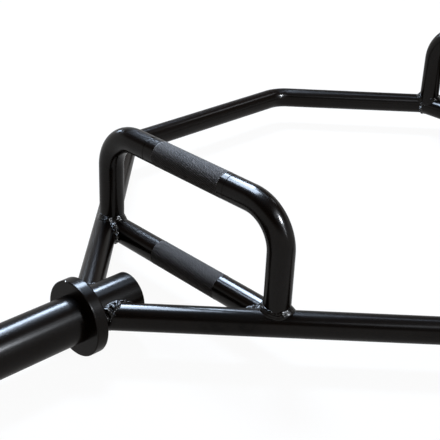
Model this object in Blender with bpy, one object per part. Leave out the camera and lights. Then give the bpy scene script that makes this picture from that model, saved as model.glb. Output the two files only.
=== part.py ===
"""Hexagonal trap bar of welded round steel, with low and raised grips.

Frame of reference: X runs along the two loading sleeves, Y across the frame,
Z up. The origin lies under the middle of the bar, level with the lowest
points of the two collars. All sizes are in metres.
"""

import math

import bmesh
import bpy
from mathutils import Vector

# Gap that is left between pieces that touch
GAP = 0.0003

# Loading sleeves: one pipe each, through the collar and into the frame
OVERALL_LENGTH = 1.422
SLEEVE_D = 0.050
SLEEVE_WALL = 0.006
SLEEVE_EDGE = 0.0008
PLUG_THICKNESS = 0.008
PLUG_RECESS = 0.001
PLUG_EDGE = 0.0006

# Collars that stop the plates
COLLAR_SPACING = 0.9182
COLLAR_D = 0.081
COLLAR_THICKNESS = 0.0135
COLLAR_EDGE = 0.0009

# Frame rails: each is one rod, bent at two corners
ROD_D = 0.0288
RAIL_SPACING = 0.618
RAIL_ANGLE = math.radians(45)
RAIL_TO_COLLAR = 0.0027
PIPE_OVERHANG = 0.0156
BEND_RADIUS = 0.044

# Grips: a low one in the frame's plane, a raised one above it
GRIP_SPACING = 0.635
HIGH_GRIP_RISE = 0.1214
LEG_INSET = 0.010
LEG_FOOT_HEIGHT = 0.006
KNURL_LENGTH = 0.0992
KNURL_SHIFT = -0.0034
KNURL_RAISE = 0.0002
KNURL_SHOULDER = 0.0004
LINE_SPACING = 0.123
LINE_WIDTH = 0.0014
LINE_DEPTH = 0.0004

# Weld beads: half thickness of the bead, and how far its middle stands off
HUB_WELD = 0.0050
GRIP_WELD = 0.0042
WELD_STANDOFF = 0.0006
# how sharply a bead passes from one rod under it to the next
WELD_BLEND = 8

# Facets round a turned piece, a rod, a bend and a weld bead
TURNED_SIDES = 48
ROD_SIDES = 28
BEND_STEPS = 6
WELD_STEPS = 25
WELD_SIDES = 7

# Worked out from the sizes above
ROD_R = ROD_D / 2
SLEEVE_R = SLEEVE_D / 2
AXIS_HEIGHT = COLLAR_D / 2
COLLAR_INNER_X = COLLAR_SPACING / 2
COLLAR_OUTER_X = COLLAR_INNER_X + COLLAR_THICKNESS
SLEEVE_END_X = OVERALL_LENGTH / 2
ALONG = math.cos(RAIL_ANGLE)
ACROSS = math.sin(RAIL_ANGLE)
# where a rail's middle line would meet the middle line of the sleeves
APEX_X = COLLAR_INNER_X - RAIL_TO_COLLAR + SLEEVE_R * ALONG / ACROSS - ROD_R / ACROSS
PIPE_INNER_X = APEX_X - (SLEEVE_R * ALONG + ROD_R) / ACROSS - PIPE_OVERHANG
RAIL_Y = RAIL_SPACING / 2
CORNER_X = APEX_X - RAIL_Y * ALONG / ACROSS
GRIP_X = GRIP_SPACING / 2
# where the low grip's middle line meets a rail's, and where a leg stands
CROSSING_Y = (APEX_X - GRIP_X) * ACROSS / ALONG
LEG_Y = CROSSING_Y - LEG_INSET

BLACK_GLOSS = (0.012, 0.012, 0.013, 1.0)
BLACK_PLUG = (0.020, 0.020, 0.021, 1.0)
BLACK_WELD = (0.016, 0.016, 0.018, 1.0)


def clear_scene():
    """Remove every object, so that the script can run again."""
    for old in list(bpy.data.objects):
        bpy.data.objects.remove(old, do_unlink=True)


def finish_material(name, colour, roughness, metallic):
    """A plain finish for one piece."""
    material = bpy.data.materials.new(name)
    material.use_nodes = True
    shader = material.node_tree.nodes["Principled BSDF"]
    shader.inputs["Base Color"].default_value = colour
    shader.inputs["Roughness"].default_value = roughness
    shader.inputs["Metallic"].default_value = metallic
    return material


def new_object(name, bm, colour, roughness=0.25, metallic=0.6):
    """Close off a bmesh as a smooth-shaded object with its own finish."""
    bmesh.ops.recalc_face_normals(bm, faces=bm.faces)
    mesh = bpy.data.meshes.new(name)
    bm.to_mesh(mesh)
    bm.free()
    mesh.shade_smooth()
    mesh.set_sharp_from_angle(angle=math.radians(35))
    mesh.materials.append(finish_material(name + "_finish", colour, roughness, metallic))
    piece = bpy.data.objects.new(name, mesh)
    bpy.context.scene.collection.objects.link(piece)
    piece.parent = bpy.data.objects["sleeve_axis"]
    return piece


def new_cutter(name, bm):
    """A hidden shape that only cuts its neighbours."""
    cutter = new_object(name, bm, BLACK_PLUG)
    cutter.hide_render = True
    cutter.display_type = "WIRE"
    return cutter


def cut(piece, *cutters):
    """Cut each of the cutters out of a piece."""
    for cutter in cutters:
        difference = piece.modifiers.new(cutter.name, "BOOLEAN")
        difference.operation = "DIFFERENCE"
        difference.solver = "EXACT"
        difference.object = cutter


def bridge(bm, rings, closed):
    """Join each ring of points to the next with quads."""
    followers = rings[1:] + rings[:1] if closed else rings[1:]
    for ring, follower in zip(rings, followers):
        for i in range(len(ring)):
            j = (i + 1) % len(ring)
            bm.faces.new((ring[i], ring[j], follower[j], follower[i]))


def swept_rod(stations, flat_normal, sides=ROD_SIDES):
    """A solid rod through stations of (middle, direction, radius).

    The path lies in the plane that flat_normal stands on.
    """
    bm = bmesh.new()
    rings = []
    for middle, direction, radius in stations:
        aside = flat_normal.cross(direction).normalized()
        angles = [2 * math.pi * i / sides for i in range(sides)]
        points = [middle + radius * (math.cos(a) * aside + math.sin(a) * flat_normal) for a in angles]
        rings.append([bm.verts.new(point) for point in points])
    bridge(bm, rings, closed=False)
    bm.faces.new(rings[0])
    bm.faces.new(rings[-1])
    return bm


def turned_ring(profile, sides=TURNED_SIDES):
    """A ring turned about X from a closed profile of (x, radius) points."""
    bm = bmesh.new()
    rings = []
    for x, radius in profile:
        angles = [2 * math.pi * i / sides for i in range(sides)]
        rings.append([bm.verts.new((x, radius * math.cos(a), radius * math.sin(a))) for a in angles])
    bridge(bm, rings, closed=True)
    return bm


def straight_cylinder(start, end, radius, flat_normal, sides=ROD_SIDES):
    """A plain round bar between two points."""
    direction = (end - start).normalized()
    return swept_rod([(start, direction, radius), (end, direction, radius)], flat_normal, sides)


def rounded_path(corners, radius, bend_radius):
    """Stations along straight runs with a round bend at each inner corner."""
    stations = [(corners[0], (corners[1] - corners[0]).normalized(), radius)]
    for before, corner, after in zip(corners, corners[1:], corners[2:]):
        arriving = (corner - before).normalized()
        leaving = (after - corner).normalized()
        turn = arriving.angle(leaving)
        setback = bend_radius * math.tan(turn / 2)
        inward = (leaving - arriving * arriving.dot(leaving)).normalized()
        centre = corner - arriving * setback + inward * bend_radius
        for step in range(BEND_STEPS + 1):
            angle = turn * step / BEND_STEPS
            middle = centre + bend_radius * (math.sin(angle) * arriving - math.cos(angle) * inward)
            direction = math.cos(angle) * arriving + math.sin(angle) * inward
            stations.append((middle, direction, radius))
    stations.append((corners[-1], (corners[-1] - corners[-2]).normalized(), radius))
    return stations


def rail_corners(front_or_rear):
    """Middle line of a rail, from one sleeve's axis to the other's."""
    y = front_or_rear * RAIL_Y
    return [
        Vector((-APEX_X, 0, 0)),
        Vector((-CORNER_X, y, 0)),
        Vector((CORNER_X, y, 0)),
        Vector((APEX_X, 0, 0)),
    ]


def knurl_stations(y_steps):
    """Radius along a grip: a slightly raised knurled band."""
    near = KNURL_SHIFT - KNURL_LENGTH / 2
    far = KNURL_SHIFT + KNURL_LENGTH / 2
    band = [
        (near - KNURL_SHOULDER, ROD_R),
        (near, ROD_R + KNURL_RAISE),
        (far, ROD_R + KNURL_RAISE),
        (far + KNURL_SHOULDER, ROD_R),
    ]
    return sorted(band + y_steps)


def turned_lines():
    """Radius along the raised grip at its two shallow turned lines."""
    steps = []
    for middle in (-LINE_SPACING / 2, LINE_SPACING / 2):
        steps.append((middle - LINE_WIDTH / 2, ROD_R))
        steps.append((middle, ROD_R - LINE_DEPTH))
        steps.append((middle + LINE_WIDTH / 2, ROD_R))
    return steps


def frame_rail(name, front_or_rear):
    """One bent rod of the six-sided frame."""
    up = Vector((0, 0, 1))
    bm = swept_rod(rounded_path(rail_corners(front_or_rear), ROD_R, BEND_RADIUS), up)
    return new_object(name, bm, BLACK_GLOSS)


def low_grip(name):
    """Straight rod between the rails, with its knurled band."""
    along_y = Vector((0, 1, 0))
    ends = [(-CROSSING_Y, ROD_R), (CROSSING_Y, ROD_R)]
    steps = knurl_stations(ends)
    stations = [(Vector((0, y, 0)), along_y, radius) for y, radius in steps]
    return new_object(name, swept_rod(stations, Vector((1, 0, 0))), BLACK_GLOSS)


def high_grip(name):
    """U-shaped rod: two legs, two bends and a knurled grip between."""
    corners = [
        Vector((0, -LEG_Y, LEG_FOOT_HEIGHT)),
        Vector((0, -LEG_Y, HIGH_GRIP_RISE)),
        Vector((0, LEG_Y, HIGH_GRIP_RISE)),
        Vector((0, LEG_Y, LEG_FOOT_HEIGHT)),
    ]
    stations = rounded_path(corners, ROD_R, BEND_RADIUS)
    half = len(stations) // 2
    along_y = Vector((0, 1, 0))
    steps = knurl_stations(turned_lines())
    straight = [(Vector((0, y, HIGH_GRIP_RISE)), along_y, radius) for y, radius in steps]
    bm = swept_rod(stations[:half] + straight + stations[half:], Vector((1, 0, 0)))
    return new_object(name, bm, BLACK_GLOSS)


def sleeve_pipe(name, end):
    """Pipe from the bar's end, through the collar, to its stub in the frame."""
    outer = end * SLEEVE_END_X
    inner = end * PIPE_INNER_X
    inward = math.copysign(SLEEVE_EDGE, inner - outer)
    bore = SLEEVE_R - SLEEVE_WALL
    profile = [
        (outer, SLEEVE_R - SLEEVE_EDGE),
        (outer + inward, SLEEVE_R),
        (inner - inward, SLEEVE_R),
        (inner, SLEEVE_R - SLEEVE_EDGE),
        (inner, bore),
        (outer, bore),
    ]
    return new_object(name, turned_ring(profile), BLACK_GLOSS)


def collar(name, end):
    """Thick ring on the pipe, with a narrow chamfer on each rim."""
    outer = end * COLLAR_OUTER_X
    inner = end * COLLAR_INNER_X
    inward = math.copysign(COLLAR_EDGE, inner - outer)
    rim = COLLAR_D / 2
    profile = [
        (outer, rim - COLLAR_EDGE),
        (outer + inward, rim),
        (inner - inward, rim),
        (inner, rim - COLLAR_EDGE),
        (inner, SLEEVE_R + GAP),
        (outer, SLEEVE_R + GAP),
    ]
    return new_object(name, turned_ring(profile), BLACK_GLOSS)


def pipe_plug(name, face_x, inward):
    """Round plate inside a pipe's end, a little below the rim."""
    radius = SLEEVE_R - SLEEVE_WALL - GAP
    face = face_x + inward * PLUG_RECESS
    back = face + inward * PLUG_THICKNESS
    direction = Vector((inward, 0, 0))
    stations = [
        (Vector((face, 0, 0)), direction, radius - PLUG_EDGE),
        (Vector((face + inward * PLUG_EDGE, 0, 0)), direction, radius),
        (Vector((back, 0, 0)), direction, radius),
    ]
    return new_object(name, swept_rod(stations, Vector((0, 0, 1)), TURNED_SIDES), BLACK_PLUG, 0.4, 0.3)


def weld_bead(points, middle, half_thickness, closed=True):
    """A round bead through points, lying round a rod's middle line."""
    bm = bmesh.new()
    rings = []
    last = len(points) - 1
    for i, point in enumerate(points):
        before = points[i - 1] if closed or i > 0 else point
        after = points[(i + 1) % len(points)] if closed or i < last else point
        along = (after - before).normalized()
        outward = point - middle(point)
        outward = (outward - along * along.dot(outward)).normalized()
        aside = along.cross(outward)
        ring = []
        for k in range(WELD_SIDES):
            angle = 2 * math.pi * (k + 0.5) / WELD_SIDES
            offset = half_thickness * (math.cos(angle) * outward + math.sin(angle) * aside)
            ring.append(bm.verts.new(point + offset))
        rings.append(ring)
    bridge(bm, rings, closed)
    if not closed:
        bm.faces.new(rings[0])
        bm.faces.new(rings[-1])
    return bm


def clear_run(points, others, distance):
    """The longest run of a loop's points that stays clear of other points."""
    longest, run = [], []
    for point in points + points:
        if min((point - other).length for other in others) > distance:
            run = run + [point]
        else:
            run = []
        if len(points) > len(run) > len(longest):
            longest = run
    return longest


def loop_angles():
    """Angles of the stations round a weld bead."""
    return [2 * math.pi * i / WELD_STEPS for i in range(WELD_STEPS)]


def hub_weld_path(end, front_or_rear):
    """Loop where a rail's rod meets the pipe's stub."""
    rod_r = ROD_R + WELD_STANDOFF
    pipe_r = SLEEVE_R + WELD_STANDOFF
    apex = Vector((end * APEX_X, 0, 0))
    direction = Vector((-end * ALONG, front_or_rear * ACROSS, 0))
    aside = Vector((end * ACROSS, front_or_rear * ALONG, 0))
    points = []
    for angle in loop_angles():
        sideways = rod_r * math.cos(angle)
        height = rod_r * math.sin(angle)
        reach = (math.sqrt(pipe_r ** 2 - height ** 2) - sideways * ALONG) / ACROSS
        points.append(apex + direction * reach + aside * sideways + Vector((0, 0, height)))
    return points, lambda point: apex + direction * direction.dot(point - apex)


def low_weld_path(end, front_or_rear):
    """Loop where the low grip's rod meets a rail."""
    rod_r = ROD_R + WELD_STANDOFF
    points = []
    for angle in loop_angles():
        sideways = rod_r * math.cos(angle)
        height = rod_r * math.sin(angle)
        # distance from the rail's middle line, in the frame's plane
        clear = math.sqrt(rod_r ** 2 - height ** 2)
        y = CROSSING_Y - (clear + end * sideways * ACROSS) / ALONG
        points.append(Vector((end * GRIP_X + sideways, front_or_rear * y, height)))
    return points, lambda point: Vector((end * GRIP_X, point.y, 0))


def leg_weld_path(end, front_or_rear):
    """Loop where a raised grip's leg stands on the rail and the low grip."""
    leg_r = ROD_R + WELD_STANDOFF
    axis = Vector((end * GRIP_X, front_or_rear * LEG_Y, 0))
    points = []
    for angle in loop_angles():
        x = leg_r * math.cos(angle)
        y = leg_r * math.sin(angle)
        from_rail = end * x * ACROSS + (front_or_rear * y - LEG_INSET) * ALONG
        on_rail = math.sqrt(max(0.0, leg_r ** 2 - from_rail ** 2))
        on_grip = math.sqrt(max(0.0, leg_r ** 2 - x ** 2))
        # the highest of the three, blended
        levels = (on_rail, on_grip, LEG_FOOT_HEIGHT)
        height = sum(level ** WELD_BLEND for level in levels) ** (1 / WELD_BLEND)
        points.append(axis + Vector((x, y, height)))
    return points, lambda point: Vector((axis.x, axis.y, point.z))


def build():
    """Make every piece of the bar."""
    clear_scene()
    axis = bpy.data.objects.new("sleeve_axis", None)
    axis.location = (0, 0, AXIS_HEIGHT)
    bpy.context.scene.collection.objects.link(axis)

    up = Vector((0, 0, 1))
    across = Vector((1, 0, 0))
    ends = {"left": -1, "right": 1}
    sides = {"front": -1, "rear": 1}

    rail_cut = {}
    rails = {}
    for side, toward in sides.items():
        rails[side] = frame_rail("frame_rail_" + side, toward)
        path = rounded_path(rail_corners(toward), ROD_R + GAP, BEND_RADIUS)
        rail_cut[side] = new_cutter("rail_clearance_" + side, swept_rod(path, up))

    for end, outward in ends.items():
        sleeve_pipe("sleeve_pipe_" + end, outward)
        collar("collar_" + end, outward)
        pipe_plug("sleeve_end_plug_" + end, outward * SLEEVE_END_X, -outward)
        pipe_plug("sleeve_inner_plate_" + end, outward * PIPE_INNER_X, outward)

        pipe_cut = new_cutter(
            "pipe_clearance_" + end,
            straight_cylinder(
                Vector((outward * (PIPE_INNER_X - PIPE_OVERHANG), 0, 0)),
                Vector((outward * SLEEVE_END_X, 0, 0)),
                SLEEVE_R + GAP,
                up,
                TURNED_SIDES,
            ),
        )
        collar_cut = new_cutter(
            "collar_clearance_" + end,
            straight_cylinder(
                Vector((outward * (COLLAR_INNER_X - GAP), 0, 0)),
                Vector((outward * (COLLAR_OUTER_X + GAP), 0, 0)),
                COLLAR_D / 2 + GAP,
                up,
                TURNED_SIDES,
            ),
        )
        low_cut = new_cutter(
            "low_grip_clearance_" + end,
            straight_cylinder(
                Vector((outward * GRIP_X, -CROSSING_Y, 0)),
                Vector((outward * GRIP_X, CROSSING_Y, 0)),
                ROD_R + GAP,
                across,
            ),
        )
        low = low_grip("handle_low_" + end)
        low.location.x = outward * GRIP_X
        high = high_grip("handle_high_" + end)
        high.location.x = outward * GRIP_X
        cut(high, low_cut)

        for side, toward in sides.items():
            joint = side + "_" + end
            cut(rails[side], pipe_cut)
            cut(low, rail_cut[side])
            cut(high, rail_cut[side])

            path, middle = hub_weld_path(outward, toward)
            weld = new_object("weld_rail_to_pipe_" + joint, weld_bead(path, middle, HUB_WELD), BLACK_WELD)
            cut(weld, pipe_cut, rail_cut[side], collar_cut)

            leg_cut = new_cutter(
                "leg_clearance_" + joint,
                straight_cylinder(
                    Vector((outward * GRIP_X, toward * LEG_Y, LEG_FOOT_HEIGHT - GAP)),
                    Vector((outward * GRIP_X, toward * LEG_Y, HIGH_GRIP_RISE)),
                    ROD_R + GAP,
                    across,
                ),
            )
            path, middle = leg_weld_path(outward, toward)
            weld = new_object("weld_leg_to_rail_" + joint, weld_bead(path, middle, GRIP_WELD), BLACK_WELD)
            cut(weld, leg_cut, rail_cut[side], low_cut)
            # the bead under the grip stops short of the leg's own bead
            leg_path = path
            path, middle = low_weld_path(outward, toward)
            run = clear_run(path, leg_path, 2 * GRIP_WELD + GAP)
            weld = new_object(
                "weld_grip_to_rail_" + joint, weld_bead(run, middle, GRIP_WELD, closed=False), BLACK_WELD
            )
            cut(weld, low_cut, rail_cut[side])


build()
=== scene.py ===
import math
import random

import bmesh
import bpy
from mathutils import Matrix, Vector, noise


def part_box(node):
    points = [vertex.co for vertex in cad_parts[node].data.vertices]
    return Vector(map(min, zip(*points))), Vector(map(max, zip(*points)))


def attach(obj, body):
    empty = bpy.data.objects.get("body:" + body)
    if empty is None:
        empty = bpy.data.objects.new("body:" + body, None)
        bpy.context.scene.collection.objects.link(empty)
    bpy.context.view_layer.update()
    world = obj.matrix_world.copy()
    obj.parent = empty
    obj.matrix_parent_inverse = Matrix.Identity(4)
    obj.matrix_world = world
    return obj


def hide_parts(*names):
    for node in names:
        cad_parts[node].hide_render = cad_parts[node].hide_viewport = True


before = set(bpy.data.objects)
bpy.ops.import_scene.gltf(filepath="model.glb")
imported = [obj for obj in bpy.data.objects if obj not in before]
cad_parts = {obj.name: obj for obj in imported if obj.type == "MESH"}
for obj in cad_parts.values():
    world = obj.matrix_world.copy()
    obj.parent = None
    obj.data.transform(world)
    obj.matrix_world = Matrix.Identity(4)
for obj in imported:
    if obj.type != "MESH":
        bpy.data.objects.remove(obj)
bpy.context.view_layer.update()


# Loading sleeves. Each is a length of two-inch steel pipe that the plates slide onto. It runs
# through its collar and ends as a short stub inside the frame, where the rails are welded to it.
# Sprayed with black enamel like the rest; sliding plates have drawn fine lines along it.

# which way each end lies along the bar, and each side across it
ENDS = {"left": -1, "right": 1}
SIDES = {"front": -1, "rear": 1}
PIPE_WALL = 0.006
PIPE_EDGE = 0.0008
TURNED_SIDES = 128
# a rounded edge is drawn in steps, with a point on either side that keeps the faces flat
EDGE_STEPS = 5
EDGE_SUPPORT = 1.7
# the crease in degrees from which faces are shaded apart
CREASE = 32

pipe_low, pipe_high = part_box("sleeve_pipe_right")
PIPE_R = (pipe_high.z - pipe_low.z) / 2
AXIS_HEIGHT = (pipe_high.z + pipe_low.z) / 2
PIPE_TIP_X = pipe_high.x
PIPE_STUB_X = pipe_low.x

# the enamel's black, tinted warm: the warm tint is a painted reflection of a warm room
ENAMEL_BLACK_AND_WARM_REFLECTION = (0.0056, 0.0022, 0.0004, 1)
ENAMEL_DUST = (0.0105, 0.0082, 0.0062, 1)
# the gloss lies mostly in the clear top of the enamel, over a duller ground
GROUND_GLOSS = 0.01
TOP_GLOSS = 0.20
TOP_ROUGHNESS = 0.19
ENAMEL_ROUGHNESS = 0.34
ENAMEL_RELIEF = 0.000006
# lumps a metre: smudges of hands, mottling, orange peel and the finest grain
SMUDGES = 11
MOTTLING = 34
PEEL = 330
GRAIN = 1700
# the lines that the plates have drawn, by their number a metre along the bar and across it
DRAWN_LINES = (7, 640, 640)
# the stub was rubbed down before it was welded: the patch's middle, its reach and its marks
RUBBED_STUB = ((-0.411, 0, AXIS_HEIGHT + PIPE_R), 0.032, (760, 55, 55))


class Wire:
    """One socket of a material. Sums on it add Math nodes, node() adds any other."""

    def __init__(self, tree, socket=None):
        self.tree = tree
        self.socket = socket

    def node(self, kind, settings=None, sockets=None, output=0):
        """Add a node: its settings first, then its sockets' values or links."""
        added = self.tree.nodes.new("ShaderNode" + kind)
        for setting, value in (settings or {}).items():
            setattr(added, setting, value)
        for key, value in (sockets or {}).items():
            if isinstance(value, Wire):
                self.tree.links.new(value.socket, added.inputs[key])
            else:
                added.inputs[key].default_value = value
        if not added.outputs:
            return None
        return Wire(self.tree, added.outputs[output])

    def math(self, operation, *values):
        return self.node("Math", {"operation": operation}, dict(enumerate(values)))

    def __add__(self, other):
        return self.math("ADD", self, other)

    def __radd__(self, other):
        return self.math("ADD", other, self)

    def __sub__(self, other):
        return self.math("SUBTRACT", self, other)

    def __rsub__(self, other):
        return self.math("SUBTRACT", other, self)

    def __mul__(self, other):
        return self.math("MULTIPLY", self, other)

    def __rmul__(self, other):
        return self.math("MULTIPLY", other, self)

    def clamped(self):
        """This value, kept from 0 to 1."""
        return self.node("Clamp", None, {"Value": self})

    def between(self, low, high):
        """0 below low, 1 above high, with a soft step between."""
        ends = {"Value": self, "From Min": low, "From Max": high}
        return self.node("MapRange", {"interpolation_type": "SMOOTHSTEP"}, ends)

    def blend(self, first, second):
        """A colour from first to second, by this value."""
        return self.node("Mix", {"data_type": "RGBA"}, {0: self, 6: first, 7: second}, 2)

    def stretched(self, factors):
        """A place with each of its axes times a factor."""
        return self.node("VectorMath", {"operation": "MULTIPLY"}, {0: self, 1: factors})

    def distance(self, other):
        """How far one place is from another, in metres."""
        return self.node("VectorMath", {"operation": "DISTANCE"}, {0: self, 1: other}, 1)

    def cloud(self, scale, detail, rough):
        """Soft noise from 0 to 1 over a place, with scale in lumps a metre."""
        sockets = {"Vector": self, "Scale": scale, "Detail": detail, "Roughness": rough}
        return self.node("TexNoise", None, sockets)


def new_finish(name):
    """An empty material, with a wire that carries the place on the piece."""
    material = bpy.data.materials.new(name)
    material.use_nodes = True
    material.node_tree.nodes.clear()
    start = Wire(material.node_tree)
    return material, start.node("TexCoord", None, None, "Object")


def close_finish(place, colour, roughness, relief, depth, gloss, top=0.0, metallic=0.0):
    """The shader at the end of a finish. relief is a height from 0 to 1, depth in metres."""
    bump = place.node("Bump", None, {"Strength": 1.0, "Distance": depth, "Height": relief})
    shader = place.node(
        "BsdfPrincipled",
        None,
        {
            "Base Color": colour,
            "Roughness": roughness,
            "Metallic": metallic,
            "Specular IOR Level": gloss,
            "Coat Weight": top,
            "Coat Roughness": TOP_ROUGHNESS,
            "Normal": bump,
        },
    )
    place.node("OutputMaterial", None, {"Surface": shader})


def sprayed_enamel(name, drawn_along=None, dust=0.35, gloss=TOP_GLOSS, dulled_and_sheen=None):
    """Black enamel: a slight orange peel, hand smudges and, where it slides, drawn lines.

    The last argument: a patch's middle, reach and marks, scuffed and dusty, on the rail also
    painted sheen.
    """
    material, place = new_finish(name)
    mottle = place.cloud(MOTTLING, 4, 0.6)
    smudge = place.cloud(SMUDGES, 3, 0.65).between(0.42, 0.70)
    peel = place.cloud(PEEL, 1.5, 0.5)
    grain = place.cloud(GRAIN, 2, 0.6)
    colour = (mottle.between(0.35, 0.85) * dust).blend(ENAMEL_BLACK_AND_WARM_REFLECTION, ENAMEL_DUST)
    roughness = ENAMEL_ROUGHNESS + smudge * 0.10 + (grain - 0.5) * 0.08
    top = gloss * (1 - smudge * 0.14 - (peel - 0.5) * 0.3)
    relief = peel * 0.85 + grain * 0.15
    if drawn_along:
        lines = place.stretched(drawn_along).cloud(1, 3, 0.7).between(0.60, 0.74)
        colour = (lines * 0.5).blend(colour, ENAMEL_DUST)
        roughness = roughness + lines * 0.10
        relief = relief - lines * 0.20
    if dulled_and_sheen:
        middle, reach, marks = dulled_and_sheen
        away = place.distance(middle) + (mottle - 0.5) * reach
        worn_and_sheen = 1 - away.between(reach * 0.6, reach)
        scuffs = place.stretched(marks).cloud(1, 3, 0.7).between(0.40, 0.66)
        # the patch is paler with dust, and on the front rail partly with a painted sheen
        colour = (worn_and_sheen * (0.45 + scuffs * 0.55)).blend(colour, ENAMEL_DUST)
        roughness = roughness + worn_and_sheen * 0.06
        relief = relief - worn_and_sheen * scuffs * 0.35
        top = top * (1 - worn_and_sheen * (0.12 + scuffs * 0.30))
    close_finish(place, colour, roughness, relief, ENAMEL_RELIEF, GROUND_GLOSS, top)
    return material


def rounded_outline(corners):
    """A closed outline of square corners (x, radius, edge), each rounded by its edge."""
    outline = []
    for i, (x, radius, edge) in enumerate(corners):
        here = Vector((x, radius))
        back = (Vector(corners[i - 1][:2]) - here).normalized()
        onward = (Vector(corners[(i + 1) % len(corners)][:2]) - here).normalized()
        outline.append(here + back * edge * EDGE_SUPPORT)
        for step in range(EDGE_STEPS + 1):
            turn = math.pi / 2 * step / EDGE_STEPS
            from_back = (1 - math.sin(turn)) * edge
            from_onward = (1 - math.cos(turn)) * edge
            outline.append(here + back * from_back + onward * from_onward)
        outline.append(here + onward * edge * EDGE_SUPPORT)
    return outline


def join_rings(bm, rings, closed=False):
    """Quads from each ring of points to the next, and a cap on each open end."""
    rings = [[bm.verts.new(point) for point in ring] for ring in rings]
    followers = rings[1:] + rings[:1] if closed else rings[1:]
    for ring, follower in zip(rings, followers):
        for i in range(len(ring)):
            j = (i + 1) % len(ring)
            bm.faces.new((ring[i], ring[j], follower[j], follower[i]))
    if not closed:
        bm.faces.new(rings[0])
        bm.faces.new(rings[-1])


def full_turn(count):
    """Angles spaced evenly round a circle."""
    return [2 * math.pi * i / count for i in range(count)]


def turned_about_x(outline, closed=True, sides=TURNED_SIDES):
    """Turn an outline of (x, radius) about the sleeves' middle line."""
    rings = []
    for x, radius in outline:
        ring = []
        for angle in full_turn(sides):
            ring.append((x, radius * math.cos(angle), AXIS_HEIGHT + radius * math.sin(angle)))
        rings.append(ring)
    bm = bmesh.new()
    join_rings(bm, rings, closed)
    return bm


def fit_piece(name, bm, finishes, node, crease=CREASE):
    """Make an object of a mesh and put it in the place of its CAD node."""
    bmesh.ops.recalc_face_normals(bm, faces=bm.faces)
    mesh = bpy.data.meshes.new(name)
    bm.to_mesh(mesh)
    bm.free()
    mesh.shade_smooth()
    mesh.set_sharp_from_angle(angle=math.radians(crease))
    for finish in finishes:
        mesh.materials.append(finish)
    piece = bpy.data.objects.new(name, mesh)
    bpy.context.scene.collection.objects.link(piece)
    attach(piece, "root")
    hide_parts(node)


sleeve_enamel = sprayed_enamel(
    "sleeve_enamel", drawn_along=DRAWN_LINES, dust=0.5, dulled_and_sheen=RUBBED_STUB
)

for end, outward in ENDS.items():
    pipe_outline = rounded_outline(
        [
            (outward * PIPE_TIP_X, PIPE_R, PIPE_EDGE),
            (outward * PIPE_STUB_X, PIPE_R, PIPE_EDGE),
            (outward * PIPE_STUB_X, PIPE_R - PIPE_WALL, PIPE_EDGE / 2),
            (outward * PIPE_TIP_X, PIPE_R - PIPE_WALL, PIPE_EDGE / 2),
        ]
    )
    fit_piece(
        "loading_sleeve_" + end,
        turned_about_x(pipe_outline),
        [sleeve_enamel],
        "sleeve_pipe_" + end,
    )


# Collars. Each is a thick steel ring, turned on a lathe, pushed over the pipe and fixed there, so
# that the plates stop against it. Its rims have a narrow rounded edge. The left one has lost a
# chip of enamel on its outer rim, where a plate has struck it and the bright steel shows.

COLLAR_EDGE = 0.0011
# how far the bore reaches into the pipe, so that no gap shows
COLLAR_SEAT = 0.0002
COLLAR_RELIEF = 0.000015
# lumps a metre, a little finer than on the sleeves, and in the edge of the chip
COLLAR_MOTTLING = 60
COLLAR_PEEL = 360
COLLAR_GRAIN = 1900
CHIP_LUMPS = 1500
# how fast the marks of the lathe tool repeat outward, in radians a metre
LATHE_MARKS = 9000
CHIP_PLACE = (-0.4723, 0.0117, 0.0790)
CHIP_SIZE = 0.0016
CHIP_RAGGED = 0.0012
STEEL_BRIGHT = (0.62, 0.60, 0.57, 1)
STEEL_ROUGHNESS = 0.28


def collar_enamel():
    """Enamel over faint rings of the lathe tool, with one chip down to the steel."""
    material, place = new_finish("collar_enamel")
    mottle = place.cloud(COLLAR_MOTTLING, 4, 0.6)
    peel = place.cloud(COLLAR_PEEL, 1.5, 0.5)
    grain = place.cloud(COLLAR_GRAIN, 2, 0.6)
    away = place.distance(CHIP_PLACE) + (place.cloud(CHIP_LUMPS, 2, 0.6) - 0.5) * CHIP_RAGGED
    chip = 1 - away.between(CHIP_SIZE * 0.45, CHIP_SIZE * 0.62)
    from_axis = place.stretched((0, 1, 1)).distance((0, 0, AXIS_HEIGHT))
    rings = from_axis.math("SINE", from_axis * LATHE_MARKS) * 0.5 + 0.5
    colour = (mottle.between(0.35, 0.85) * 0.5).blend(ENAMEL_BLACK_AND_WARM_REFLECTION, ENAMEL_DUST)
    colour = chip.blend(colour, STEEL_BRIGHT)
    roughness = (0.30 + mottle * 0.14) * (1 - chip) + chip * STEEL_ROUGHNESS
    relief = peel * 0.7 + grain * 0.15 + rings * 0.15 - chip * 1.5
    top = (TOP_GLOSS * 0.95 - mottle * 0.06) * (1 - chip)
    close_finish(place, colour, roughness, relief, COLLAR_RELIEF, GROUND_GLOSS, top, chip)
    return material


collar_finish = collar_enamel()
collar_low, collar_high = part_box("collar_right")
COLLAR_R = (collar_high.z - collar_low.z) / 2

for end, outward in ENDS.items():
    collar_outline = rounded_outline(
        [
            (outward * collar_high.x, COLLAR_R, COLLAR_EDGE),
            (outward * collar_low.x, COLLAR_R, COLLAR_EDGE),
            (outward * collar_low.x, PIPE_R - COLLAR_SEAT, COLLAR_EDGE / 3),
            (outward * collar_high.x, PIPE_R - COLLAR_SEAT, COLLAR_EDGE / 3),
        ]
    )
    fit_piece(
        "plate_collar_" + end,
        turned_about_x(collar_outline),
        [collar_finish],
        "collar_" + end,
    )


# Caps. A round cap closes each end of a pipe: a moulded plastic plug pushed into the open end, and
# a steel disc set in the stub inside the frame and painted with it. Both have a shallow dish.

CAP_GAP = 0.0001
CAP_R = PIPE_R - PIPE_WALL - CAP_GAP
CAP_SIDES = 64
CAP_EDGE = 0.0007
CAP_RIM = 0.0026
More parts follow.
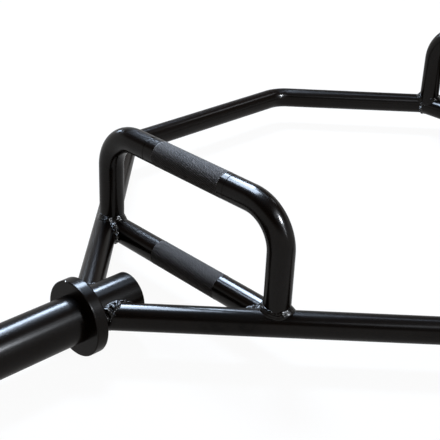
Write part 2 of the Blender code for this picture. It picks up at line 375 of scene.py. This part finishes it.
# inside the rim the face slopes down to the flat middle of the dish
CAP_SLOPE = 0.0012
CAP_SLOPE_STEPS = 4
CAP_DISH = 0.0006
CAP_CENTRE = 0.002

PLASTIC_BLACK = (0.0150, 0.0150, 0.0158, 1)
PLASTIC_GREY = (0.0300, 0.0300, 0.0310, 1)
PLASTIC_RELIEF = 0.00008
PLASTIC_GLOSS = 0.4
PLASTIC_CLOUDS = 70
PLASTIC_GRAIN = 2300


def moulded_plastic():
    """Satin black plastic with a fine moulded grain."""
    material, place = new_finish("moulded_plastic")
    fine = place.cloud(PLASTIC_GRAIN, 2, 0.6)
    broad = place.cloud(PLASTIC_CLOUDS, 3, 0.6)
    colour = (broad.between(0.35, 0.8) * 0.6).blend(PLASTIC_BLACK, PLASTIC_GREY)
    close_finish(place, colour, 0.40 + broad * 0.16, fine, PLASTIC_RELIEF, PLASTIC_GLOSS)
    return material


def dished_cap(face_x, back_x):
    """A round cap with a raised rim and a shallow dish in its face."""
    into = math.copysign(1, back_x - face_x)
    outline = [(back_x, CAP_R)]
    for step in range(EDGE_STEPS + 1):
        turn = math.pi / 2 * step / EDGE_STEPS
        lift = CAP_EDGE * (1 - math.sin(turn))
        outline.append((face_x + into * lift, CAP_R - CAP_EDGE + CAP_EDGE * math.cos(turn)))
    outline.append((face_x, CAP_R - CAP_RIM))
    for step in range(1, CAP_SLOPE_STEPS + 1):
        share = step / CAP_SLOPE_STEPS
        depth = CAP_DISH * (share * share * (3 - 2 * share))
        outline.append((face_x + into * depth, CAP_R - CAP_RIM - CAP_SLOPE * share))
    outline.append((face_x + into * CAP_DISH, CAP_CENTRE))
    return turned_about_x(outline, closed=False, sides=CAP_SIDES)


plastic = moulded_plastic()
for end, outward in ENDS.items():
    for cap, node, open_end in (
        ("sleeve_cap_", "sleeve_end_plug_", True),
        ("stub_plate_", "sleeve_inner_plate_", False),
    ):
        low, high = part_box(node + end)
        face_x, back_x = (high.x, low.x) if (outward > 0) == open_end else (low.x, high.x)
        finish = plastic if open_end else sleeve_enamel
        fit_piece(cap + end, dished_cap(face_x, back_x), [finish], node + end)


# Long rails. Each is one solid round rod, bent cold at two corners round a former, so that the
# two of them make the six-sided frame. Their ends are coped to sit round the sleeves' stubs.

ROD_SIDES = 72
BEND_RADIUS = 0.044
BEND_STEPS = 26
# how far inside the collar a rail's outer side meets the pipe
RAIL_TO_COLLAR = 0.0027
# a coped end starts clear of what it sits on, and slides on until it sinks in by the cope
COPE = 0.0003
COPE_CLEAR = 0.060
COPE_MOVES = 60
ALONG_BAR = Vector((1, 0, 0))
ACROSS_BAR = Vector((0, 1, 0))
UP = Vector((0, 0, 1))

rail_low, rail_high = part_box("frame_rail_rear")
ROD_R = (rail_high.z - rail_low.z) / 2
RAIL_Y = rail_high.y - ROD_R
# the slanted runs lie at 45 degrees
SLANT = math.sqrt(0.5)
# where a rail's middle line would meet the sleeves'
APEX_X = collar_low.x - RAIL_TO_COLLAR + PIPE_R - ROD_R / SLANT
CORNER_X = APEX_X - RAIL_Y

# the front rail is scuffed dull between the hub and the grips, and paler there, partly as a
# painted
# sheen beside its highlight: middle, reach and marks
SCUFFED_RAIL_AND_SHEEN = ((-0.357, -0.105, AXIS_HEIGHT + ROD_R), 0.040, (110, 110, 110))
frame_enamel = sprayed_enamel("frame_enamel", gloss=0.25, dulled_and_sheen=SCUFFED_RAIL_AND_SHEEN)


def rounded_route(corners):
    """Stations (place, direction) along straight runs with a round bend at each corner."""
    route = [(corners[0], (corners[1] - corners[0]).normalized())]
    for before, corner, after in zip(corners, corners[1:], corners[2:]):
        arriving = (corner - before).normalized()
        leaving = (after - corner).normalized()
        turn = arriving.angle(leaving)
        inward = (leaving - arriving * arriving.dot(leaving)).normalized()
        centre = corner - arriving * BEND_RADIUS * math.tan(turn / 2) + inward * BEND_RADIUS
        for step in range(BEND_STEPS + 1):
            angle = turn * step / BEND_STEPS
            swing = math.sin(angle) * arriving - math.cos(angle) * inward
            heading = math.cos(angle) * arriving + math.sin(angle) * inward
            route.append((centre + BEND_RADIUS * swing, heading))
    route.append((corners[-1], (corners[-1] - corners[-2]).normalized()))
    return route


def rod_ring(place, heading, flat_normal, radius=ROD_R):
    """Points round a rod, square to its heading."""
    aside = flat_normal.cross(heading).normalized()
    ring = []
    for angle in full_turn(ROD_SIDES):
        ring.append(place + radius * (math.cos(angle) * aside + math.sin(angle) * flat_normal))
    return ring


def cope(ring, heading, skin):
    """Slide each point of a rod's end along the rod until it sits just under a skin."""
    coped = []
    for point in ring:
        for _ in range(COPE_MOVES):
            point = point + heading * (skin(point)[0] + COPE)
        coped.append(point)
    return coped


def rod_skin(through, along, radius):
    """How far a point lies outside a round rod, and the way out from it there."""
    def skin(point):
        away = point - through
        away = away - along * away.dot(along)
        return away.length - radius, away.normalized()
    return skin


pipe_skin = rod_skin(Vector((0, 0, AXIS_HEIGHT)), ALONG_BAR, PIPE_R)

for side, toward in SIDES.items():
    corners = [
        Vector((-APEX_X, 0, AXIS_HEIGHT)),
        Vector((-CORNER_X, toward * RAIL_Y, AXIS_HEIGHT)),
        Vector((CORNER_X, toward * RAIL_Y, AXIS_HEIGHT)),
        Vector((APEX_X, 0, AXIS_HEIGHT)),
    ]
    route = rounded_route(corners)
    rings = [rod_ring(place, heading, UP) for place, heading in route]
    # the coped ends start from outside the stub and slide back onto it
    for index, turn in ((0, 1), (-1, -1)):
        place, heading = route[index]
        clear = place + heading * turn * COPE_CLEAR
        rings[index] = cope(rod_ring(clear, heading, UP), heading * -turn, pipe_skin)
    bm = bmesh.new()
    join_rings(bm, rings)
    fit_piece("long_rail_" + side, bm, [frame_enamel], "frame_rail_" + side)


# Hub welds. A fillet of weld metal, laid by hand in short overlapping ripples, joins each rail's
# coped end to the sleeve's stub. It was painted over, and some spatter was painted in with it.

HUB_LEG = 0.0025
HUB_SEED = 11
LOOP_POINTS = 240
# where the metal is heaped up, it climbs further up the rail than it spreads on the stub, on
# the part of the rail's side that faces the heap by more than this cosine
HUB_CLIMB = 7.8
HEAP_FROM = 0.45
# where rod and base run side by side, between these cosines, the weld narrows to a seam
SEAM_FROM = 0.35
SEAM_TO = 0.95
SEAM_NARROWS = 0.55
# the points of a weld's face: their spacing along it and their number across it
WELD_STEP = 0.00035
WELD_ACROSS = 23
WELD_CROWN = 0.0010
RIPPLE_PITCH = 0.0033
RIPPLE_BOW = 0.0013
RIPPLE_HEIGHT = 0.00095
LUMP_HEIGHT = 0.00105
# a weld of several beads is smoother and flatter
SMOOTH_CROWN = 0.0002
SMOOTH_SWELL = 0.00024
SMOOTH_RIPPLE = 0.00022
SMOOTH_LUMP = 0.00022
# the toes wander by a share of the leg and are tucked under the steel, the middle of the face
# stays clear of it, and the back lies inside it
TOE_WANDER = 0.22
TOE_TUCK = 0.0003
WELD_CLEAR = 0.0004
BACK_DEPTH = 0.0012
ROOT_DEPTH = 0.0020
# how softly two rods' skins are blended, and how often a point is moved to settle on a skin
SKIN_BLEND = 0.0012
SKIN_MOVES = 6
# how much the ripples stray from their pitch
RIPPLE_STRAY = 0.7
# how often a metre the ripples stray and each toe wanders, and the lumps and the finer ones
STRAYS = 160
ROD_TOE_WANDERS = 210
BASE_TOE_WANDERS = 190
LUMPS = 270
FINE_LUMPS = 720
# lumps a metre in the enamel
WELD_PITS = 760
WELD_BLISTERS = 200
WELD_SOOT = 120
WELD_CREASE = 60
# spatter: the size of its drops, how many legs they lie off, and how much of a drop stands out
DROP_SIZES = (0.00030, 0.00060)
DROP_REACH = (1.1, 1.9)
DROP_STANDS = 0.25

# the slanted runs of the rails, by the end and the side that they lie on
DIAGONAL = {
    (outward, toward): rod_skin(
        Vector((outward * APEX_X, 0, AXIS_HEIGHT)),
        Vector((-outward * SLANT, toward * SLANT, 0)),
        ROD_R,
    )
    for outward in ENDS.values()
    for toward in SIDES.values()
}


def weld_enamel(name, roughcast, gloss):
    """Enamel that has run thin over weld metal, rough by roughcast metres."""
    material, place = new_finish(name)
    pits = place.cloud(WELD_PITS, 2, 0.6)
    blisters = place.cloud(WELD_BLISTERS, 1.5, 0.5)
    soot = place.cloud(WELD_SOOT, 3, 0.6)
    colour = (soot.between(0.4, 0.75) * 0.7).blend(ENAMEL_BLACK_AND_WARM_REFLECTION, ENAMEL_DUST)
    roughness = 0.17 + soot * 0.10
    relief = blisters * 0.96 + pits * 0.04
    close_finish(place, colour, roughness, relief, roughcast, gloss)
    return material


def nearest_skin(*skins):
    """The nearest of several rods, blended a little where two are equally near."""
    def skin(point):
        found = [one(point) for one in skins]
        least = min(gap for gap, _ in found)
        shares = [math.exp((least - gap) / SKIN_BLEND) for gap, _ in found]
        way = Vector((0, 0, 0))
        for share, (_, out) in zip(shares, found):
            way = way + share * out
        return least - SKIN_BLEND * math.log(sum(shares)), way.normalized()
    return skin


def on_skin(point, skin, height=0.0):
    """The point moved straight out or in until it lies that height off a skin."""
    for _ in range(SKIN_MOVES):
        gap, out = skin(point)
        point = point + out * (height - gap)
    return point


def even_loop(points, spacing):
    """A closed loop of points, spaced evenly."""
    closed = points + points[:1]
    lengths = [(b - a).length for a, b in zip(closed, closed[1:])]
    count = round(sum(lengths) / spacing)
    wanted = [sum(lengths) * i / count for i in range(count)]
    loop, piece, passed = [], 0, 0.0
    for distance in wanted:
        while passed + lengths[piece] < distance:
            passed += lengths[piece]
            piece += 1
        loop.append(closed[piece].lerp(closed[piece + 1], (distance - passed) / lengths[piece]))
    return loop


def weld_toes(place, along, rod, base, leg, drift, heaped):
    """Where the weld ends on the rod and on the base, beside one place of its root."""
    rod_out = rod(place)[1]
    base_out = base(place)[1]
    climb = along.cross(rod_out).normalized()
    spread = base_out.cross(along).normalized()
    facing = max(0, rod_out.dot(base_out) - SEAM_FROM) / (SEAM_TO - SEAM_FROM)
    reach = leg * (1 - SEAM_NARROWS * min(1, facing))
    climb_by = 1
    if heaped:
        heap = max(0, rod_out.dot(heaped) - HEAP_FROM) / (1 - HEAP_FROM)
        climb_by = 1 + (HUB_CLIMB - 1) * heap
    wander = noise.noise(place * ROD_TOE_WANDERS + drift) * TOE_WANDER
    toe_up = on_skin(place + climb * reach * climb_by * (1 + wander), rod)
    wander = noise.noise(place * BASE_TOE_WANDERS - drift) * TOE_WANDER
    toe_out = on_skin(place + spread * reach * (1 + wander), base)
    return toe_up, toe_out


def weld_relief(place, passed, point, share, drift, beads):
    """How far a point of the weld's face is raised, a share of the way across the face.

    place is the place of the root beside it, and passed is how far along the root that lies.
    """
    hump = 4 * share * (1 - share)
    fade = min(1, hump * 1.6)
    stray = noise.noise(place * STRAYS + drift) * RIPPLE_STRAY
    ripple = (((passed + hump * RIPPLE_BOW) / RIPPLE_PITCH + stray) % 1.0) ** 1.6 - 0.38
    lump = noise.noise(point * LUMPS + drift) + 0.20 * noise.noise(point * FINE_LUMPS - drift)
    if beads == 1:
        return fade * (ripple * RIPPLE_HEIGHT + lump * LUMP_HEIGHT)
    swell = abs(math.sin(math.pi * beads * share)) - 0.6
    return fade * (swell * SMOOTH_SWELL + ripple * SMOOTH_RIPPLE + lump * SMOOTH_LUMP)


def fillet_weld(root, rod, base, away, leg, seed, heaped=None, beads=1):
    """Weld metal in the corner between a rod and its base, laid along a closed root.

    away points along the rod, off the base. leg is how far the weld spreads on the base. It is
    heaped up on the side that heaped points to, and has one lumpy bead or several smooth ones.
    """
    crown = WELD_CROWN if beads == 1 else SMOOTH_CROWN
    root = even_loop(root, WELD_STEP)
    count = len(root)
    tangents = [(root[(i + 1) % count] - root[i - 1]).normalized() for i in range(count)]
    turn = sum(tangents[i].cross(rod(root[i])[1]).dot(away) for i in range(count))
    turn = math.copysign(1, turn)
    drift = Vector((seed * 7.3, seed * 3.1, seed * 5.7))
    rings = []
    for i, place in enumerate(root):
        rod_out = rod(place)[1]
        base_out = base(place)[1]
        face_out = (rod_out + base_out).normalized()
        toe_up, toe_out = weld_toes(place, tangents[i] * turn, rod, base, leg, drift, heaped)
        ring = []
        for k in range(WELD_ACROSS):
            share = k / (WELD_ACROSS - 1)
            hump = 4 * share * (1 - share)
            point = toe_up.lerp(toe_out, share) + face_out * crown * hump
            point += face_out * weld_relief(place, i * WELD_STEP, point, share, drift, beads)
            least = WELD_CLEAR * hump - TOE_TUCK * (1 - hump)
            gap, out = min((rod(point), base(point)), key=lambda found: found[0])
            if gap < least or share in (0, 1):
                point += out * (least - gap)
            ring.append(point)
        # the back of the weld lies inside the steel
        ring.append(toe_out - base_out * BACK_DEPTH)
        ring.append(place - face_out * ROOT_DEPTH)
        ring.append(toe_up - rod_out * BACK_DEPTH)
        rings.append(ring)
    bm = bmesh.new()
    join_rings(bm, rings, closed=True)
    return bm


def add_spatter(bm, root, base, leg, seed, number):
    """Small round drops of weld metal that froze on the base beside a weld."""
    chance = random.Random(seed)
    for _ in range(number):
        place = root[chance.randrange(len(root))]
        shift = Vector([chance.uniform(-1, 1) for _ in range(3)]).normalized()
        size = chance.uniform(*DROP_SIZES)
        place = place + shift * leg * chance.uniform(*DROP_REACH)
        stand = Matrix.Translation(on_skin(place, base, size * DROP_STANDS))
        bmesh.ops.create_icosphere(bm, subdivisions=2, radius=size, matrix=stand)


hub_weld_enamel = weld_enamel("hub_weld_enamel", roughcast=0.0030, gloss=0.21)

for end, outward in ENDS.items():
    for side, toward in SIDES.items():
        apex = Vector((outward * APEX_X, 0, AXIS_HEIGHT))
        heading = Vector((-outward * SLANT, toward * SLANT, 0))
        aside = Vector((outward * SLANT, toward * SLANT, 0))
        root = []
        for angle in full_turn(LOOP_POINTS):
            sideways = ROD_R * math.cos(angle)
            height = ROD_R * math.sin(angle)
            reach = math.sqrt(PIPE_R ** 2 - height ** 2) / SLANT - sideways
            root.append(apex + heading * reach + aside * sideways + UP * height)
        rail_skin = DIAGONAL[outward, toward]
        seed = HUB_SEED + 2 * outward + toward
        # at the front the metal is heaped up over the top of the rail too
        heaped = aside if toward > 0 else aside * 0.57 + UP * 0.82
        bm = fillet_weld(root, rail_skin, pipe_skin, heading, HUB_LEG, seed, heaped)
        add_spatter(bm, root, nearest_skin(rail_skin, pipe_skin), HUB_LEG, seed, number=9)
        joint = side + "_" + end
        fit_piece(
            "hub_weld_" + joint,
            bm,
            [hub_weld_enamel],
            "weld_rail_to_pipe_" + joint,
            WELD_CREASE,
        )


# Low grips. Each is a straight rod of the same stock, coped between the two rails in the plane
# of the frame. A band in the middle is knurled: pressed into a raised pattern of small diamonds,
# then painted thinly, so that it looks dull and grey beside the gloss on either side. Part of that
# grey is a painted sheen, which stands in for the glints on the diamonds.

# the band lies a little towards the front, and its pattern runs out at both ends
KNURL_FROM = -0.0530
KNURL_TO = 0.0462
KNURL_ROUND = 80
KNURL_PITCH = 0.00115
KNURL_DEPTH = 0.00026
KNURL_RUN_OUT = 0.0009
KNURL_RELIEF = 0.000020
KNURL_GLOSS = 0.042
# lumps a metre: where hands have rubbed it, and specks
HANDLED = 55
SPECKS = 1400
# the plain rod has a ring of points this far from the band
SHOULDER = 0.002
GRIP_CREASE = 24

# the knurl's valleys and crests, both made paler by a painted sheen for the diamonds' glints
KNURL_DARK_AND_SHEEN = (0.080, 0.070, 0.064, 1)
KNURL_CREST_AND_SHEEN = (0.360, 0.317, 0.288, 1)

low_grip_low, low_grip_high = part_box("handle_low_right")
GRIP_X = (low_grip_low.x + low_grip_high.x) / 2
KNURL_R = (low_grip_high.z - low_grip_low.z) / 2
CROSSING_Y = APEX_X - GRIP_X
# the low rods by their end, as the welds meet them
LOW_ROD = {
    outward: rod_skin(Vector((outward * GRIP_X, 0, AXIS_HEIGHT)), ACROSS_BAR, ROD_R)
    for outward in ENDS.values()
}


def knurl_enamel(name, height, rubbed_and_lit):
    """Knurl paint: dark valleys, crests paled by handling, a painted sheen; a low last value
    paints shade.
    """
    material, place = new_finish(name)
    flat = place.node("VectorMath", {"operation": "ABSOLUTE"}, {0: place}).stretched((1, 0, 1))
    centre = (GRIP_X, 0, height)
    crest = flat.distance(centre).between(KNURL_R - KNURL_DEPTH * 0.9, KNURL_R)
    handled = place.cloud(HANDLED, 3, 0.6).between(0.30, 0.75)
    speck = place.cloud(SPECKS, 2, 0.6)
    colour = (crest * (0.6 + handled * 0.4) * rubbed_and_lit).blend(KNURL_DARK_AND_SHEEN, KNURL_CREST_AND_SHEEN)
    roughness = 0.53 + (speck - 0.5) * 0.1 - crest * 0.04
    close_finish(place, colour, roughness, speck, KNURL_RELIEF, KNURL_GLOSS)
    return material


def knurled_rings(middle):
    """Rings of points along a grip, every other one of them raised, so that diamonds stand up."""
    rows = round((KNURL_TO - KNURL_FROM) / KNURL_PITCH)
    rings = []
    for row in range(rows + 1):
        y = KNURL_FROM + (KNURL_TO - KNURL_FROM) * row / rows
        run_out = min(1, (y - KNURL_FROM) / KNURL_RUN_OUT, (KNURL_TO - y) / KNURL_RUN_OUT)
        valley = KNURL_R - KNURL_DEPTH * run_out
        ring = []
        for i, angle in enumerate(full_turn(KNURL_ROUND)):
            radius = KNURL_R if (i + row) % 2 else valley
            ring.append(middle + Vector((radius * math.cos(angle), y, radius * math.sin(angle))))
        rings.append(ring)
    return rings


def add_knurl(bm, middle):
    """The knurled band, each small square folded along its valley."""
    rings = [[bm.verts.new(point) for point in ring] for ring in knurled_rings(middle)]
    for row, (ring, follower) in enumerate(zip(rings, rings[1:])):
        for i in range(len(ring)):
            j = (i + 1) % len(ring)
            if (i + row) % 2:
                faces = ((ring[i], ring[j], follower[i]), (ring[j], follower[j], follower[i]))
            else:
                faces = ((ring[i], ring[j], follower[j]), (ring[i], follower[j], follower[i]))
            for corners in faces:
                bm.faces.new(corners).material_index = 1
    for ring in (rings[0], rings[-1]):
        bm.faces.new(ring).material_index = 1


def meeting_ring(outward, toward, ease=0.0, sink=0.0, count=ROD_SIDES):
    """Points round a low grip where it meets the rail, in the order of rod_ring.

    ease rounds off the corners above and below, and sink moves the ring into the rail.
    """
    ring = []
    for angle in full_turn(count):
        sideways = ROD_R * math.sin(angle)
        height = ROD_R * math.cos(angle)
        clear = math.sqrt(max(0.0, ROD_R ** 2 - height ** 2) + ease ** 2)
        y = CROSSING_Y - clear / SLANT - outward * sideways + sink
        ring.append(Vector((outward * GRIP_X + sideways, toward * y, AXIS_HEIGHT + height)))
    return ring


handle_enamel = sprayed_enamel("handle_enamel", dust=0.25, gloss=0.26)
# the low grips' knurl is a darker copy of the raised grips' one: painted shade
low_knurl = knurl_enamel("low_knurl", AXIS_HEIGHT, rubbed_and_lit=0.26)

for end, outward in ENDS.items():
    middle = Vector((outward * GRIP_X, 0, AXIS_HEIGHT))
    bm = bmesh.new()
    for toward, knurl_end in ((-1, KNURL_FROM), (1, KNURL_TO)):
        rings = [meeting_ring(outward, toward, sink=COPE)]
        for y in (knurl_end + toward * SHOULDER, knurl_end):
            rings.append(rod_ring(middle + ACROSS_BAR * y, ACROSS_BAR, ALONG_BAR))
        join_rings(bm, rings)
    add_knurl(bm, middle)
    fit_piece(
        "low_grip_" + end,
        bm,
        [handle_enamel, low_knurl],
        "handle_low_" + end,
        GRIP_CREASE,
    )


# Welds of the low grips. The same kind of fillet, but evenly wide, runs round each end of a low
# grip where it meets the rail. Above, it runs under the foot of the raised grip.

GRIP_LEG = 0.0047
GRIP_SEED = 31
# the root is rounded off where it would turn a sharp corner, above and below
ROOT_EASE = 0.0040
grip_weld_enamel = weld_enamel("grip_weld_enamel", roughcast=0.0026, gloss=0.38)

for end, outward in ENDS.items():
    for side, toward in SIDES.items():
        root = meeting_ring(outward, toward, ROOT_EASE, count=LOOP_POINTS)
        grip_skin = LOW_ROD[outward]
        rail_skin = DIAGONAL[outward, toward]
        seed = GRIP_SEED + 2 * outward + toward
        bm = fillet_weld(root, grip_skin, rail_skin, ACROSS_BAR * -toward, GRIP_LEG, seed)
        add_spatter(bm, root, nearest_skin(grip_skin, rail_skin), GRIP_LEG, seed, number=6)
        joint = side + "_" + end
        fit_piece(
            "low_grip_weld_" + joint,
            bm,
            [grip_weld_enamel],
            "weld_grip_to_rail_" + joint,
            WELD_CREASE,
        )


# Raised grips. Each is one rod bent into a U and stood on its two legs above a low grip, for a
# higher hold. It has the same knurled band, and a shallow line turned on either side of it shows
# where to centre the hands. The feet are coped over the rail and the low grip.

LINE_SPACING = 0.123
LINE_WIDTH = 0.0014
LINE_DEPTH = 0.0004
LINE_STEPS = 8
# how far along the grip a leg stands in from the rail's middle line, the least height of its foot
# over the rods' middle, and how sharply the foot's edges over the rail and the low grip meet
LEG_INSET = 0.010
LEG_FOOT = 0.006
FOOT_POWER = 8

HIGH_GRIP_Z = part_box("handle_high_right")[1].z - KNURL_R
LEG_Y = CROSSING_Y - LEG_INSET
high_knurl = knurl_enamel("high_knurl", HIGH_GRIP_Z, rubbed_and_lit=1.0)


def turned_line(y):
    """Stations across a shallow groove that was turned into the rod."""
    line = []
    for step in range(LINE_STEPS + 1):
        share = step / LINE_STEPS * 2 - 1
        line.append((y + share * LINE_WIDTH / 2, ROD_R - LINE_DEPTH * (1 - share * share)))
    return line


def foot_ring(outward, toward):
    """Points round a leg where it meets the top of the rail and of the low grip."""
    ring = []
    for angle in full_turn(ROD_SIDES):
        x = ROD_R * math.cos(angle)
        y = ROD_R * math.sin(angle)
        from_rail = (outward * x + toward * y - LEG_INSET) * SLANT
        on_rail = math.sqrt(max(0.0, ROD_R ** 2 - from_rail ** 2))
        on_grip = math.sqrt(max(0.0, ROD_R ** 2 - x ** 2))
        levels = (on_rail, on_grip, LEG_FOOT)
        height = sum(level ** FOOT_POWER for level in levels) ** (1 / FOOT_POWER)
        ring.append(Vector((outward * GRIP_X + x, toward * LEG_Y + y, AXIS_HEIGHT + height)))
    return ring


for end, outward in ENDS.items():
    middle = Vector((outward * GRIP_X, 0, HIGH_GRIP_Z))
    bm = bmesh.new()
    for toward in SIDES.values():
        # from the knurl, past the turned line and round the bend, down to the foot
        knurl_end = KNURL_TO if toward > 0 else -KNURL_FROM
        stations = [(knurl_end, ROD_R), (knurl_end + SHOULDER, ROD_R)]
        stations = stations + turned_line(LINE_SPACING / 2)
        heading = ACROSS_BAR * toward
        rings = []
        for y, radius in stations:
            rings.append(rod_ring(middle + heading * y, heading, ALONG_BAR, radius))
        corners = [
            middle + heading * LINE_SPACING / 2,
            middle + heading * LEG_Y,
            Vector((outward * GRIP_X, toward * LEG_Y, AXIS_HEIGHT + ROD_R)),
        ]
        for place, heading in rounded_route(corners)[1:-1]:
            rings.append(rod_ring(place, heading, ALONG_BAR))
        # the foot's points, put in the same order as the last ring of the bend
        foot = foot_ring(outward, toward)
        last = []
        for point in rings[-1]:
            nearest = min(foot, key=lambda other: (other - point).xy.length)
            last.append(Vector((point.x, point.y, nearest.z - COPE)))
        rings.append(last)
        join_rings(bm, rings)
    add_knurl(bm, middle)
    fit_piece(
        "raised_grip_" + end,
        bm,
        [handle_enamel, high_knurl],
        "handle_high_" + end,
        GRIP_CREASE,
    )


# Welds of the raised grips. A fillet of three smooth passes runs round the foot of each leg, over
# the top of the rail and down onto the low grip, and covers the top of the low grip's own weld.

LEG_SEED = 51
LEG_BEADS = 3
leg_weld_enamel = weld_enamel("leg_weld_enamel", roughcast=0.00040, gloss=0.17)

for end, outward in ENDS.items():
    for side, toward in SIDES.items():
        root = foot_ring(outward, toward)
        leg_skin = rod_skin(Vector((outward * GRIP_X, toward * LEG_Y, 0)), UP, ROD_R)
        base = nearest_skin(DIAGONAL[outward, toward], LOW_ROD[outward])
        seed = LEG_SEED + 2 * outward + toward
        bm = fillet_weld(root, leg_skin, base, UP, GRIP_LEG, seed, beads=LEG_BEADS)
        add_spatter(bm, root, base, GRIP_LEG, seed, number=8)
        joint = side + "_" + end
        fit_piece(
            "leg_weld_" + joint,
            bm,
            [leg_weld_enamel],
            "weld_leg_to_rail_" + joint,
            WELD_CREASE,
        )


# The studio: a pale floor that runs out of sight, a long soft box behind the bar, weaker ones
# around it, bright cards that show only in the gloss, a pale surround and a darker ceiling. The
# camera stands where the photograph was taken from.

FLOOR_HALF = 60.0
# where it is seen the floor glows, a little more past the lamps' reach, so that no horizon shows
FLOOR_GLOW = 0.95
GLOW_RISES = (1.5, 5.0)
# the floor's paper under that glow, where it is seen, and the paper as it lights the bar
FLOOR_SEEN = (0.07, 0.07, 0.07, 1)
FLOOR_SHADE = (0.06, 0.06, 0.06, 1)
# how much of the surround's white lights the bar, next to all of it where it is seen
SURROUND = 0.05
# the surround darkens to the ceiling between these sines of the angle above the horizon
CEILING_FROM = (0.22, 0.50)
CEILING = (0.10, 0.075, 0.06, 1)
WHITE = (1, 1, 1, 1)
BLUISH = (0.66, 0.80, 1.0)
COOL = (0.88, 0.93, 1.0)
# the middle of what the photograph shows
BAR_MIDDLE = Vector((-0.33, 0.0, 0.04))
# the camera's place, the way it looks and the way its upper edge points
CAMERA_PLACE = (-0.961438, -0.690864, 0.554794 + AXIS_HEIGHT)
CAMERA_FORWARD = Vector((0.62674354, 0.62689946, -0.46280623))
CAMERA_UPWARD = Vector((0.29604366, 0.35783216, 0.88561521))
CAMERA_LENS = 81.22
CAMERA_SENSOR = 36

floor_bm = bmesh.new()
bmesh.ops.create_grid(floor_bm, x_segments=1, y_segments=1, size=FLOOR_HALF)
floor_mesh = bpy.data.meshes.new("studio_floor")
floor_bm.to_mesh(floor_mesh)
floor_bm.free()
floor = bpy.data.objects.new("studio_floor", floor_mesh)
bpy.context.scene.collection.objects.link(floor)


def seen_directly(start):
    """1 for what the camera, a reflection or a clear material sees, else 0."""
    ray = start.node("LightPath", None, None, "Is Camera Ray")
    mirrored = start.node("LightPath", None, None, "Is Glossy Ray")
    through = start.node("LightPath", None, None, "Is Transmission Ray")
    return (ray + mirrored + through).clamped()


floor_paper, spot = new_finish("floor_paper")
seen = seen_directly(spot)
paper = spot.node("BsdfDiffuse", None, {"Color": seen.blend(FLOOR_SHADE, FLOOR_SEEN)})
far = spot.distance((0, 0, 0)).between(*GLOW_RISES)
strength = seen * (FLOOR_GLOW + far * (1 - FLOOR_GLOW))
glow = spot.node("Emission", None, {"Color": WHITE, "Strength": strength})
both = spot.node("AddShader", None, {0: paper, 1: glow})
spot.node("OutputMaterial", None, {"Surface": both})
floor_mesh.materials.append(floor_paper)

world = bpy.data.worlds.new("pale_surround")
bpy.context.scene.world = world
world.use_nodes = True
world.node_tree.nodes.clear()
start = Wire(world.node_tree)
seen = seen_directly(start)
strength = SURROUND + seen * (1 - SURROUND)
way = start.node("TexCoord", None, None, "Generated")
rise = way.node("VectorMath", {"operation": "DOT_PRODUCT"}, {0: way, 1: (0, 0, 1)}, 1)
tone = rise.between(*CEILING_FROM).blend(WHITE, CEILING)
surround = start.node("Background", None, {"Color": tone, "Strength": strength})
start.node("OutputWorld", None, {"Surface": surround})


def soft_box(name, place, width, length, watts, tint, mirrored_only=False):
    """A rectangular lamp that faces the bar, or a bright card that only shows in the gloss."""
    lamp = bpy.data.lights.new(name, "AREA")
    lamp.shape = "RECTANGLE"
    lamp.size = width
    lamp.size_y = length
    lamp.energy = watts
    lamp.color = tint
    stand = bpy.data.objects.new(name, lamp)
    stand.location = place
    stand.rotation_euler = (BAR_MIDDLE - Vector(place)).to_track_quat("-Z", "Y").to_euler()
    stand.visible_camera = False
    stand.visible_diffuse = not mirrored_only
    bpy.context.scene.collection.objects.link(stand)


soft_box("window_box", (0.52, 1.28, 2.00), 0.84, 0.36, 72, BLUISH)
soft_box("overhead_box", (0.74, 0.37, 2.05), 0.90, 0.24, 5, BLUISH)
soft_box("side_box", (1.84, -0.13, 2.00), 0.40, 0.40, 4, COOL)
soft_box("front_box", (-0.15, -1.40, 2.00), 1.90, 0.34, 9, COOL)
soft_box("window_card", (0.95, 1.55, 2.00), 0.60, 0.44, 100, BLUISH, True)
soft_box("ceiling_card", (-0.12, 0.88, 2.00), 1.10, 0.94, 240, BLUISH, True)
soft_box("front_card", (0.28, -2.04, 2.00), 0.42, 0.48, 255, COOL, True)
soft_box("low_front_card", (0.25, -2.44, 1.17), 0.16, 0.80, 12, COOL, True)
soft_box("low_rear_card", (0.02, 2.85, 0.98), 0.36, 0.30, 17, BLUISH, True)

camera_data = bpy.data.cameras.new("camera")
camera_data.sensor_width = CAMERA_SENSOR
camera_data.lens = CAMERA_LENS
camera = bpy.data.objects.new("camera", camera_data)
camera_right = CAMERA_FORWARD.cross(CAMERA_UPWARD)
turned = Matrix((camera_right, CAMERA_UPWARD, -CAMERA_FORWARD)).transposed().to_4x4()
camera.matrix_world = Matrix.Translation(CAMERA_PLACE) @ turned
bpy.context.scene.collection.objects.link(camera)
bpy.context.scene.camera = camera
bpy.context.scene.view_settings.view_transform = "Standard"
